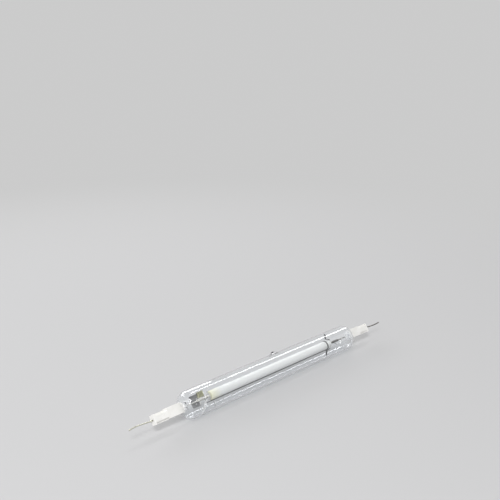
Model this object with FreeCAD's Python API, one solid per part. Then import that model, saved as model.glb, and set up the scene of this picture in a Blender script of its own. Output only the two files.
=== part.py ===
import FreeCAD, Part
import math
import os

# A double-ended high-pressure sodium lamp, in millimetres.
# The origin is the middle of the lamp, +X runs along its axis to the far end and +Z is up.
# Each piece is drawn with the flat seals facing -Y and the exhaust tip on top, and then turned
# about the axis by LAMP_ROLL, because the lamp lies rolled back in use as in the photograph.
# Stations along the axis are distances from the middle, the same for both ends.

LAMP_ROLL = 36.0

# Outer envelope: a clear quartz tube with round shoulders
BULB_DIAMETER = 33.0
BULB_WALL = 1.4
SHOULDER_RADIUS = 10.0
OUTSIDE_FACETS = 3
INSIDE_FACETS = 2

# Exhaust tip, where the envelope was sealed off
TIP_STATION = 9.0
TIP_FOOT_RADIUS = 4.2
TIP_WAIST_RADIUS = 2.3
TIP_CROWN_RADIUS = 1.0
TIP_HEIGHT = 2.6

# Pressed seals, one beyond each shoulder, and the glass root inside the shoulder
SEAL_WIDTH = 8.8
SEAL_THICKNESS = 4.4
SEAL_LENGTH = 20.0
SEAL_EDGE = 1.2
ROOT_DEPTH = 5.0
ROOT_FLARE = 1.0
ROOT_TAPER = 0.8

# Foil in each seal
FOIL_LENGTH = 12.0
FOIL_WIDTH = 5.0
FOIL_THICKNESS = 0.1
FOIL_INSET = 4.0
WELD_OVERLAP = 2.5

# Ceramic caps: a block next to the bulb, a cross-shaped neck and an end flange
CAP_BLOCK_LENGTH = 18.5
CAP_BLOCK_WIDTH = 12.1
CAP_BLOCK_RISE = 0.65
CAP_THICKNESS = 8.5
CAP_NECK_LENGTH = 16.5
CAP_LAND_WIDTH = 7.4
CAP_WING_SPAN = 11.6
CAP_WING_THICKNESS = 4.2
CAP_FLANGE_LENGTH = 1.5
CAP_EDGE = 0.4
WIRE_HOLE_CLEARANCE = 0.2

# Cement between a seal and its cap, with a bead at the bulb
CEMENT_FILM = 0.5
CEMENT_BEAD_LENGTH = 3.0
CEMENT_BEAD_SETBACK = 0.5
CEMENT_EDGE = 1.4

# Outer lead wires: straight through the cap, a slight bend, a straight run and a long bow,
# with a bead at the cap and another on the tip
WIRE_RADIUS = 0.75
WIRE_ROOT = 3.6
WIRE_STRAIGHT_RUN = 12.6
WIRE_BOW_RUN = 13.5
BOW_SPANS = 2
ROOT_BEAD_STATION = 1.9
ROOT_BEAD_RADIUS = 1.25
TIP_BEAD_RADIUS = 1.0
BEAD_LENGTH = 1.6
NEAR_BEND = 5.0
NEAR_BOW = -14.0
FAR_BEND = -3.0
FAR_BOW = 8.0

# Arc tube of sintered alumina with its end plugs; the bulb stays straight for END_ROOM past it
ARC_LENGTH = 208.0
END_ROOM = 29.5
ARC_DIAMETER = 11.2
ARC_WALL = 0.8
PLUG_LENGTH = 5.0
FIT_FILM = 0.02

# Niobium tubes that carry the current into the arc tube
FEED_RADIUS = 1.5
FEED_WALL = 0.3
FEED_OUTSIDE = 18.0
FEED_INSIDE = 1.5
FEED_CAP = 1.0
CRIMP_LENGTH = 3.0

# Inner leads, from the foils to the niobium tubes
INNER_LEAD_RADIUS = 0.8
INNER_LEAD_IN_FEED = 4.0

# Tungsten electrodes: a shank with a close coil wound on it
SHANK_RADIUS = 0.5
SHANK_LENGTH = 12.0
COIL_WIRE = 0.8
COIL_LENGTH = 6.4
COIL_FROM_TIP = 1.5

# Bars that centre the arc tube in the bulb: a square eye on the niobium tube, a crank that goes
# back over the arc tube's end, and legs swept back by the bulb wall
BAR_WIDTH = 2.4
BAR_THICKNESS = 0.4
BAR_EYE = 6.4
BAR_STANDOFF = 1.0
BAR_CRANK_CLEARANCE = 0.35
BAR_CRANK_RISE = 1.7
BAR_LEAN = 0.6
NEAR_BAR_SWEEP = 4.5
FAR_BAR_SWEEP = 7.0
FAR_BAR_TURN = 26.0
WALL_CLEARANCE = 0.1

# Raked leaf spring on the near niobium tube, which bears on the bulb wall
SPRING_STANDOFF = 7.0
SPRING_WIDTH = 4.0
SPRING_THICKNESS = 0.3
SPRING_FLAT = 4.2
SPRING_RAKE = 42.0

# Folded carrier behind the near niobium tube's end, and the getter on its tongue
PLATE_WELD = 3.4
PLATE_LENGTH = 10.4
PLATE_TOP = 8.0
PLATE_BOTTOM = -6.0
PLATE_THICKNESS = 0.4
PLATE_LIP = 2.2
PLATE_BEND = 0.8
TONGUE_WIDTH = 3.0
GETTER_LENGTH = 9.0
GETTER_WIDTH = 7.0
GETTER_THICKNESS = 0.6
GETTER_STEP = 0.4
GETTER_CLEARANCE = 0.3

# Starting wire beside the arc tube, with a band round the tube at the far end
START_WIRE_RADIUS = 0.4
START_WIRE_GAP = 0.05
BAND_WIDTH = 1.6
BAND_THICKNESS = 0.4
BAND_INSET = 7.0

# Ribbon that carries the far current past the sliding niobium tube in an arch below it
STRAP_WIDTH = 2.6
STRAP_THICKNESS = 0.25
STRAP_WELD = 3.0
STRAP_KNEE = 3.25
STRAP_DROP = 4.0
STRAP_FEED_INSET = 7.0
STRAP_LEAD_REACH = 6.0

ARC_RADIUS = ARC_DIAMETER / 2
ARC_BORE_RADIUS = ARC_RADIUS - ARC_WALL
ARC_END = ARC_LENGTH / 2
STRAIGHT_END = ARC_END + END_ROOM

BULB_RADIUS = BULB_DIAMETER / 2
BORE_RADIUS = BULB_RADIUS - BULB_WALL
FLAT_RADIUS = BULB_RADIUS - SHOULDER_RADIUS
BULB_END = STRAIGHT_END + SHOULDER_RADIUS
BORE_END = BULB_END - BULB_WALL
ROOT_END = BORE_END - ROOT_DEPTH
SEAL_END = BULB_END + SEAL_LENGTH

CAP_INNER_END = BULB_END + CEMENT_BEAD_LENGTH
CAP_STEP = CAP_INNER_END + CAP_BLOCK_LENGTH
CAP_FLANGE = CAP_STEP + CAP_NECK_LENGTH
CAP_END = CAP_FLANGE + CAP_FLANGE_LENGTH
POCKET_WIDTH = SEAL_WIDTH + 2 * CEMENT_FILM
POCKET_THICKNESS = SEAL_THICKNESS + 2 * CEMENT_FILM
POCKET_END = SEAL_END + CEMENT_FILM

FOIL_START = BULB_END + FOIL_INSET
FOIL_END = FOIL_START + FOIL_LENGTH

FEED_END = ARC_END + FEED_OUTSIDE
FEED_START = ARC_END - PLUG_LENGTH - FEED_INSIDE
FEED_BORE_RADIUS = FEED_RADIUS - FEED_WALL
INNER_LEAD_END = FEED_END - INNER_LEAD_IN_FEED
BAR_STATION = ARC_END + BAR_STANDOFF
SPRING_STATION = ARC_END + SPRING_STANDOFF
PLATE_STATION = FEED_END - PLATE_WELD
GETTER_LOW = SPRING_WIDTH / 2 + GETTER_CLEARANCE
TONGUE_HEIGHT = GETTER_LOW + GETTER_WIDTH / 2


def at(x, y=0.0, z=0.0):
    """Point in the lamp's own axes."""
    return FreeCAD.Vector(x, y, z)


def rod(start, end, radius):
    """Round rod along the axis between two stations."""
    return Part.makeCylinder(radius, end - start, at(start), at(1))


def line(first, last):
    """Straight edge."""
    return Part.makeLine(first, last)


def arc(first, middle, last):
    """Round edge through three points."""
    return Part.Arc(first, middle, last).toShape()


def rounded_section(x, width, thickness, corner, rise=0.0):
    """Closed outline across the axis: width along Z, thickness along Y, round corners."""
    half_y = thickness / 2
    half_z = width / 2
    inner_y = half_y - corner
    inner_z = half_z - corner
    slant = corner * math.sqrt(0.5)
    edges = []
    for sign_y, sign_z in ((1, 1), (-1, 1), (-1, -1), (1, -1)):
        on_side = at(x, sign_y * half_y, rise + sign_z * inner_z)
        on_corner = at(x, sign_y * (inner_y + slant), rise + sign_z * (inner_z + slant))
        on_top = at(x, sign_y * inner_y, rise + sign_z * half_z)
        if sign_y * sign_z > 0:
            next_start = at(x, -sign_y * inner_y, rise + sign_z * half_z)
            edges.append(arc(on_side, on_corner, on_top))
            edges.append(line(on_top, next_start))
        else:
            next_start = at(x, sign_y * half_y, rise - sign_z * inner_z)
            edges.append(arc(on_top, on_corner, on_side))
            edges.append(line(on_side, next_start))
    return Part.Wire(edges)


def bar(start, end, width, thickness, corner, rise=0.0):
    """Bar along the axis with a rounded rectangular section."""
    outline = rounded_section(start, width, thickness, corner, rise)
    return Part.Face(outline).extrude(at(end - start))


def block(start, end, y_from, y_to, z_from, z_to):
    """Sharp-edged block between stations and heights."""
    return Part.makeBox(end - start, y_to - y_from, z_to - z_from, at(start, y_from, z_from))


def ring(points):
    """Solid that an outline in the XZ plane sweeps round the axis."""
    return Part.Face(Part.makePolygon(points + points[:1])).revolve(at(0), at(1), 360)


def bulb_body(radius, end, facets):
    """Round body with a straight middle and round shoulders drawn with a few facets."""
    round_x = end - STRAIGHT_END
    round_z = radius - FLAT_RADIUS
    shoulder = []
    for step in range(facets + 1):
        angle = math.pi / 2 * step / facets
        shoulder.append((STRAIGHT_END + round_x * math.cos(angle),
                         FLAT_RADIUS + round_z * math.sin(angle)))
    far_side = [at(x, 0, z) for x, z in shoulder]
    near_side = [at(-x, 0, z) for x, z in reversed(shoulder)]
    return ring([at(-end), at(end)] + far_side + near_side)


def exhaust_tip():
    """Nub left where the exhaust tube was melted off, on a wide foot."""
    foot = BULB_RADIUS - BULB_WALL / 2
    waist = BULB_RADIUS + TIP_HEIGHT / 2
    up = at(0, 0, 1)
    base = Part.makeCone(TIP_FOOT_RADIUS, TIP_WAIST_RADIUS, waist - foot,
                         at(TIP_STATION, 0, foot), up)
    crown = Part.makeCone(TIP_WAIST_RADIUS, TIP_CROWN_RADIUS, TIP_HEIGHT / 2,
                          at(TIP_STATION, 0, waist), up)
    return base.fuse(crown)


def seal_root():
    """Glass wedge inside the shoulder, where the seal closes on the inner lead."""
    flare_width = SEAL_WIDTH + ROOT_FLARE
    flare_thickness = SEAL_THICKNESS + ROOT_FLARE
    tip_width = SEAL_WIDTH - ROOT_TAPER
    tip_thickness = SEAL_THICKNESS - ROOT_TAPER
    return Part.makeLoft([
        rounded_section(BULB_END - BULB_WALL / 2, flare_width, flare_thickness, SEAL_EDGE),
        rounded_section(ROOT_END, tip_width, tip_thickness, SEAL_EDGE),
    ], True)


def outer_envelope(sealed_in):
    """Quartz envelope with both seals pressed round the metal that passes through them."""
    hollow = bulb_body(BORE_RADIUS, BORE_END, INSIDE_FACETS)
    glass = bulb_body(BULB_RADIUS, BULB_END, OUTSIDE_FACETS).cut(hollow)
    seal = bar(BULB_END - BULB_WALL / 2, SEAL_END, SEAL_WIDTH, SEAL_THICKNESS, SEAL_EDGE)
    ends = [seal, seal_root()]
    ends += [mirrored(piece) for piece in ends]
    return glass.fuse(ends + [exhaust_tip()]).cut(sealed_in).removeSplitter()


def foil():
    """Thin ribbon in the middle plane of a seal."""
    half = FOIL_THICKNESS / 2
    return block(FOIL_START, FOIL_END, -half, half, -FOIL_WIDTH / 2, FOIL_WIDTH / 2)


def flat_for_foil(start, end, radius):
    """What is ground off a rod's end, so that it lies on the front of the foil."""
    return block(start, end, -FOIL_THICKNESS / 2, 2 * radius, -2 * radius, 2 * radius)


def inner_lead():
    """Rod from the foil, through the seal's root, into the end of the niobium tube."""
    lead_end = FOIL_START + WELD_OVERLAP
    lead = rod(INNER_LEAD_END, lead_end, INNER_LEAD_RADIUS)
    return lead.cut(flat_for_foil(FOIL_START, lead_end, INNER_LEAD_RADIUS))


def heading_of(angle):
    """Direction in the XZ plane at an angle above the axis."""
    return at(math.cos(angle), 0, math.sin(angle))


def bead(centre, heading, radius):
    """Bead on a wire: two cones, base to base."""
    half = BEAD_LENGTH / 2
    return Part.makeCone(WIRE_RADIUS, radius, half, centre - heading * half, heading).fuse(
        Part.makeCone(radius, WIRE_RADIUS, half, centre, heading))


def wire_path(bend_degrees, bow_degrees):
    """Corners of an outer lead's path, and its direction at the tip."""
    angle = math.radians(bend_degrees)
    path = [at(FOIL_END - WELD_OVERLAP), at(CAP_END + WIRE_ROOT)]
    path.append(path[-1] + heading_of(angle) * WIRE_STRAIGHT_RUN)
    turn = math.radians(bow_degrees) / BOW_SPANS
    angle -= turn / 2
    for _ in range(BOW_SPANS):
        angle += turn
        path.append(path[-1] + heading_of(angle) * (WIRE_BOW_RUN / BOW_SPANS))
    return path, heading_of(angle)


def lead_wire(bend_degrees, bow_degrees):
    """Outer lead from the foil to its tip, with a bead at the cap and one on the tip."""
    path, last_heading = wire_path(bend_degrees, bow_degrees)
    section = Part.Wire(Part.makeCircle(WIRE_RADIUS, path[0], at(1)))
    wire = Part.makePolygon(path).makePipeShell([section], True, False, 1)
    root_bead = bead(at(CAP_END + ROOT_BEAD_STATION), at(1), ROOT_BEAD_RADIUS)
    tip_bead = bead(path[-1], last_heading, TIP_BEAD_RADIUS)
    wire = wire.fuse([root_bead, tip_bead]).removeSplitter()
    return wire.cut(flat_for_foil(FOIL_END - WELD_OVERLAP, FOIL_END, WIRE_RADIUS))


def cap():
    """Ceramic cap: block, cross-shaped neck and flange, with a pocket for the seal."""
    body = bar(CAP_INNER_END, CAP_STEP, CAP_BLOCK_WIDTH, CAP_THICKNESS, CAP_EDGE, CAP_BLOCK_RISE)
    land = bar(CAP_STEP, CAP_FLANGE, CAP_LAND_WIDTH, CAP_THICKNESS, CAP_EDGE)
    wings = bar(CAP_STEP, CAP_FLANGE, CAP_WING_SPAN, CAP_WING_THICKNESS, CAP_EDGE)
    flange = bar(CAP_FLANGE, CAP_END, CAP_WING_SPAN, CAP_THICKNESS, CAP_EDGE)
    body = body.fuse([land, wings, flange]).removeSplitter()
    hole = rod(POCKET_END, CAP_END, WIRE_RADIUS + WIRE_HOLE_CLEARANCE)
    return body.cut([cap_pocket(), hole])


def cap_pocket():
    """Space in the cap for the seal and the cement."""
    half_y = POCKET_THICKNESS / 2
    half_z = POCKET_WIDTH / 2
    return block(CAP_INNER_END, POCKET_END, -half_y, half_y, -half_z, half_z)


def cap_cement():
    """Cement that fills the pocket round the seal and swells out at the bulb."""
    bead_width = CAP_BLOCK_WIDTH - 2 * CEMENT_BEAD_SETBACK
    bead_thickness = CAP_THICKNESS - 2 * CEMENT_BEAD_SETBACK
    bead = bar(BULB_END, CAP_INNER_END, bead_width, bead_thickness, CEMENT_EDGE)
    seal = bar(BULB_END, SEAL_END, SEAL_WIDTH, SEAL_THICKNESS, SEAL_EDGE)
    wire = rod(SEAL_END, POCKET_END, WIRE_RADIUS)
    return cap_pocket().fuse(bead).cut([seal, wire]).removeSplitter()


def arc_tube():
    """Alumina tube that holds the arc."""
    return rod(-ARC_END, ARC_END, ARC_RADIUS).cut(rod(-ARC_END, ARC_END, ARC_BORE_RADIUS))


def end_plug():
    """Alumina plug flush with the arc tube's end, bored for the niobium tube."""
    start = ARC_END - PLUG_LENGTH
    plug = rod(start, ARC_END, ARC_BORE_RADIUS - FIT_FILM)
    return plug.cut(rod(start, ARC_END, FEED_RADIUS + FIT_FILM))


def feedthrough():
    """Niobium tube, closed inside the arc tube and crimped on the inner lead outside it."""
    crimp_start = FEED_END - CRIMP_LENGTH
    tube = rod(FEED_START, FEED_END, FEED_RADIUS)
    bore = rod(FEED_START + FEED_CAP, crimp_start, FEED_BORE_RADIUS)
    crimp = rod(crimp_start, FEED_END, INNER_LEAD_RADIUS + FIT_FILM)
    return tube.cut([bore, crimp])


def electrode():
    """Tungsten shank that stands on the niobium tube's closed end, with its coil."""
    tip = FEED_START - SHANK_LENGTH
    coil_start = tip + COIL_FROM_TIP
    coil = rod(coil_start, coil_start + COIL_LENGTH, SHANK_RADIUS + COIL_WIRE)
    return rod(tip, FEED_START, SHANK_RADIUS).fuse(coil).removeSplitter()


def ribbon(path, thickness, width):
    """Bent strip: one side follows a path in the XZ plane, and the other lies on its left."""
    normals = []
    for first, last in zip(path, path[1:]):
        run = last - first
        normals.append(at(-run.z, 0, run.x).normalize())
    other_side = []
    for point, before, after in zip(path, normals[:1] + normals, normals + normals[-1:]):
        other_side.append(point + (before + after) * (thickness / (1 + before.dot(after))))
    outline = [point - at(0, width / 2) for point in path + other_side[::-1]]
    return Part.Face(Part.makePolygon(outline + outline[:1])).extrude(at(0, width))


def leg_reach(half_width):
    """Height at which a leg of this half width meets the bulb's bore."""
    return math.sqrt((BORE_RADIUS - WALL_CLEARANCE) ** 2 - half_width ** 2)


def eye_hole(station, thickness):
    """Hole in a strip for the niobium tube."""
    return rod(station, station + thickness, FEED_RADIUS + FIT_FILM)


def centring_bar(sweep):
    """Bar with a square eye on the niobium tube and two legs cranked back past the arc tube."""
    crank = ARC_RADIUS + BAR_CRANK_CLEARANCE
    eye = BAR_EYE / 2
    leg = ribbon([
        at(BAR_STATION - sweep, 0, leg_reach(BAR_WIDTH / 2)),
        at(BAR_STATION - sweep + BAR_LEAN, 0, crank + BAR_CRANK_RISE),
        at(BAR_STATION, 0, crank),
        at(BAR_STATION),
    ], BAR_THICKNESS, BAR_WIDTH)
    other_leg = leg.mirror(at(0), at(0, 0, 1))
    tab = block(BAR_STATION, BAR_STATION + BAR_THICKNESS, -eye, eye, -eye, eye)
    hole = eye_hole(BAR_STATION, BAR_THICKNESS)
    return tab.fuse([leg, other_leg]).cut(hole).removeSplitter()


def wall_spring():
    """Strip with a hole for the niobium tube and a raked leg that bears on the bulb wall."""
    reach = leg_reach(SPRING_WIDTH / 2)
    rake = math.radians(SPRING_RAKE)
    strip = ribbon([
        at(SPRING_STATION, 0, SPRING_WIDTH / 2),
        at(SPRING_STATION, 0, -SPRING_FLAT),
        at(SPRING_STATION + (reach - SPRING_FLAT) * math.tan(rake), 0, -reach),
    ], SPRING_THICKNESS, SPRING_WIDTH)
    return strip.cut(eye_hole(SPRING_STATION, SPRING_THICKNESS))


def mount_plate():
    """Folded sheet welded behind the niobium tube, with lips and a tongue for the getter."""
    back = FEED_RADIUS + FIT_FILM
    web = block(PLATE_STATION, PLATE_STATION + PLATE_LENGTH, back, back + PLATE_THICKNESS,
                PLATE_BOTTOM, PLATE_TOP)
    lips = [block(PLATE_STATION, PLATE_STATION + PLATE_LENGTH, back - PLATE_LIP,
                  back + PLATE_THICKNESS, height, height + PLATE_THICKNESS)
            for height in (PLATE_BOTTOM, PLATE_TOP - PLATE_THICKNESS)]
    tongue = block(PLATE_STATION - GETTER_LENGTH, PLATE_STATION, back, back + PLATE_THICKNESS,
                   TONGUE_HEIGHT - TONGUE_WIDTH / 2, TONGUE_HEIGHT + TONGUE_WIDTH / 2)
    sheet = web.fuse(lips).removeSplitter()
    folds = [edge for edge in sheet.Edges if is_fold(edge, back + PLATE_THICKNESS)]
    return sheet.makeFillet(PLATE_BEND, folds).fuse(tongue).removeSplitter()


def is_fold(edge, back_face):
    """True for the two long outer edges of the folded sheet."""
    box = edge.BoundBox
    runs_along = box.XLength > PLATE_LENGTH / 2
    at_back = abs(box.YMin - back_face) < FIT_FILM and abs(box.YMax - back_face) < FIT_FILM
    at_lip = min(abs(box.ZMin - PLATE_BOTTOM), abs(box.ZMax - PLATE_TOP)) < FIT_FILM
    return runs_along and at_back and at_lip


def getter():
    """Pressed getter plate, with a raised field, on the front of the carrier's tongue."""
    back = FEED_RADIUS + FIT_FILM
    start = PLATE_STATION - GETTER_LENGTH
    low = GETTER_LOW
    high = GETTER_LOW + GETTER_WIDTH
    plate = block(start, PLATE_STATION, back - GETTER_THICKNESS, back, low, high)
    field = block(start + GETTER_STEP, PLATE_STATION - GETTER_STEP,
                  back - GETTER_THICKNESS - GETTER_STEP, back - GETTER_THICKNESS,
                  low + 2 * GETTER_STEP, high - 2 * GETTER_STEP)
    return plate.fuse(field).removeSplitter()


def starting_wire():
    """Wire from the wall spring, past the near bar, to a band round the arc tube."""
    run_radius = ARC_RADIUS + START_WIRE_GAP + START_WIRE_RADIUS
    side = -(BAR_WIDTH / 2 + START_WIRE_GAP + START_WIRE_RADIUS)
    height = -math.sqrt(run_radius ** 2 - side ** 2)
    past_bend = -height - START_WIRE_RADIUS - SPRING_FLAT
    start = START_WIRE_GAP - SPRING_STATION - past_bend * math.tan(math.radians(SPRING_RAKE))
    end = ARC_END - BAND_INSET
    straight = Part.makeCylinder(START_WIRE_RADIUS, end - start, at(start, side, height), at(1))
    band_bore = ARC_RADIUS + START_WIRE_GAP
    band = rod(end - BAND_WIDTH, end, band_bore + BAND_THICKNESS)
    band = band.cut(rod(end - BAND_WIDTH, end, band_bore))
    return band.fuse(straight).removeSplitter()


def flex_strap():
    """Ribbon in an arch below the axis, from the niobium tube to the inner lead."""
    on_feed = -FEED_RADIUS - FIT_FILM
    on_lead = -INNER_LEAD_RADIUS - FIT_FILM
    low = on_feed - STRAP_DROP
    first = FEED_END - STRAP_FEED_INSET
    last = FEED_END + STRAP_LEAD_REACH
    return ribbon([
        at(last + STRAP_WELD, 0, on_lead),
        at(last, 0, on_lead),
        at(last - STRAP_KNEE, 0, low),
        at(first + STRAP_KNEE, 0, low),
        at(first, 0, on_feed),
        at(first - STRAP_WELD, 0, on_feed),
    ], STRAP_THICKNESS, STRAP_WIDTH)


def mirrored(shape):
    """The same piece at the near end."""
    return shape.mirror(at(0), at(1))


def turned(shape, degrees):
    """Piece turned about the lamp's axis."""
    copy = shape.copy()
    copy.rotate(at(0), at(1), degrees)
    return copy


def lamp_pieces():
    """All pieces by name, with the seals facing -Y."""
    near_wire = mirrored(lead_wire(NEAR_BEND, NEAR_BOW))
    far_wire = lead_wire(FAR_BEND, FAR_BOW)
    pieces = {"near_lead_wire": near_wire, "far_lead_wire": far_wire}
    paired = {
        "foil": foil(),
        "inner_lead": inner_lead(),
        "cap": cap(),
        "cap_cement": cap_cement(),
        "end_plug": end_plug(),
        "feedthrough": feedthrough(),
        "electrode": electrode(),
    }
    for name, shape in paired.items():
        pieces["far_" + name] = shape
        pieces["near_" + name] = mirrored(shape)
    sealed_in = [pieces[end + name] for end in ("near_", "far_")
                 for name in ("foil", "inner_lead", "lead_wire")]
    pieces["outer_envelope"] = outer_envelope(sealed_in)
    pieces["arc_tube"] = arc_tube()
    pieces["near_centring_bar"] = mirrored(centring_bar(NEAR_BAR_SWEEP))
    pieces["far_centring_bar"] = turned(centring_bar(FAR_BAR_SWEEP), FAR_BAR_TURN)
    pieces["near_wall_spring"] = mirrored(wall_spring())
    pieces["near_mount_plate"] = mirrored(mount_plate())
    pieces["getter"] = mirrored(getter())
    pieces["starting_wire"] = starting_wire()
    pieces["far_flex_strap"] = flex_strap()
    return pieces


os.makedirs("parts", exist_ok=True)
for piece_name, piece in lamp_pieces().items():
    turned(piece, -LAMP_ROLL).exportStep("parts/" + piece_name + ".step")
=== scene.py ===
"""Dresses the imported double-ended discharge lamp and sets up its studio.

Sizes are in millimetres in the lamp's own axes: X along the bulb, the broad faces of the caps
towards -Y and the exhaust tip towards +Z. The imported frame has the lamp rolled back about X.
"""
import logging
import math
from dataclasses import dataclass
from enum import Enum

import bmesh
import bpy
from mathutils import Matrix, Vector, noise


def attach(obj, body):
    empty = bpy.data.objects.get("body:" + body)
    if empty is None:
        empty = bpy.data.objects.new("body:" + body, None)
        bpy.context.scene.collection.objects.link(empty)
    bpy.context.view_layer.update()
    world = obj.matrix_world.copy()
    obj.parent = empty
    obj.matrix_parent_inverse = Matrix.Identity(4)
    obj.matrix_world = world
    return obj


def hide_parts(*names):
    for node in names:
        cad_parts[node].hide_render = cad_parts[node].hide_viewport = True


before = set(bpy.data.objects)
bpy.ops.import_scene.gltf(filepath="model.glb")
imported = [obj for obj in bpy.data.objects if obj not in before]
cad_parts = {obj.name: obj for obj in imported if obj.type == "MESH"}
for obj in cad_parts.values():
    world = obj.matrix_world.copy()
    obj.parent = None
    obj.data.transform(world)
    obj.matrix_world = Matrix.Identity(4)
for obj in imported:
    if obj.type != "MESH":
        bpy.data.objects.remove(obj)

LOG = logging.getLogger("discharge_lamp")
MM = 0.001
LAMP_ROLL = 36.0
TO_ROW = Matrix.Scale(MM, 4) @ Matrix.Rotation(math.radians(-LAMP_ROLL), 4, "X")
AXIS = Vector((1.0, 0.0, 0.0))

# Faces of a CAD solid that meet at less than FLAT are joined to one
FLAT = math.radians(0.6)
# Its outer edges that turn by more than CRISP are rounded over
CRISP = math.radians(38.0)
# Degrees above which an edge stays sharp: new pieces, softened copies, and wires and welds
SHARP = 32.0
SHARP_COPY = 34.0
SHARP_ROUND = 60.0
# Points closer than this are one point: millimetres for new pieces, metres for copies
WELD = 1e-4
WELD_COPY = 1e-6
# Two stations closer than this many millimetres are the same
SAME = 0.01
# Most of a noise node's values lie between these two
NOISE_LOW = 0.3
NOISE_HIGH = 0.7


class End(Enum):
    """The two ends of the lamp: near is at -X, far at +X."""

    NEAR = -1
    FAR = 1

    @property
    def label(self) -> str:
        """Prefix of this end's node names."""
        return self.name.lower()


class Joining(Enum):
    """How one closed shape acts on another."""

    UNION = "UNION"
    DIFFERENCE = "DIFFERENCE"


# ---------------------------------------------------------------- finishes


def srgb(code: str) -> tuple[float, float, float, float]:
    """Turns an sRGB hex colour into linear values.

    Args:
        code: six hex digits.

    Returns:
        Linear red, green and blue, and 1.
    """
    parts = [int(code[i:i + 2], 16) / 255 for i in (0, 2, 4)]
    linear = [c / 12.92 if c <= 0.04045 else ((c + 0.055) / 1.055) ** 2.4 for c in parts]
    return (linear[0], linear[1], linear[2], 1.0)


WHITE = srgb("FFFFFF")


def per_mm(size: float) -> float:
    """Noise scale on metre coordinates for features of this size in millimetres."""
    return 1000.0 / size


def add_node(tree: bpy.types.NodeTree, kind: str, inputs: dict | None = None,
             **settings: object) -> bpy.types.Node:
    """Adds one node with its settings and links.

    Args:
        tree: the material's or the world's node tree.
        kind: the node's type name.
        inputs: socket name or number to a value, or to an output socket that is linked.
        settings: the node's own properties.

    Returns:
        The new node.
    """
    node = tree.nodes.new(kind)
    for name, value in settings.items():
        setattr(node, name, value)
    for name, value in (inputs or {}).items():
        if isinstance(value, bpy.types.NodeSocket):
            tree.links.new(value, node.inputs[name])
        else:
            node.inputs[name].default_value = value
    return node


def new_material(name: str) -> tuple[bpy.types.Material, bpy.types.NodeTree]:
    """Makes an empty node material.

    Args:
        name: the finish's plain name.

    Returns:
        The material and its node tree.
    """
    material = bpy.data.materials.new(name)
    material.use_nodes = True
    material.node_tree.nodes.clear()
    return material, material.node_tree


def ramp_colours(node: bpy.types.Node, stops: list[tuple[float, str]]) -> bpy.types.Node:
    """Fills a colour ramp.

    Args:
        node: a ColorRamp node.
        stops: position and sRGB hex colour, in order.

    Returns:
        The same node.
    """
    ramp = node.color_ramp
    while len(ramp.elements) < len(stops):
        ramp.elements.new(0.5)
    for element, (position, code) in zip(ramp.elements, stops):
        element.position = position
        element.color = srgb(code)
    return node


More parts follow.
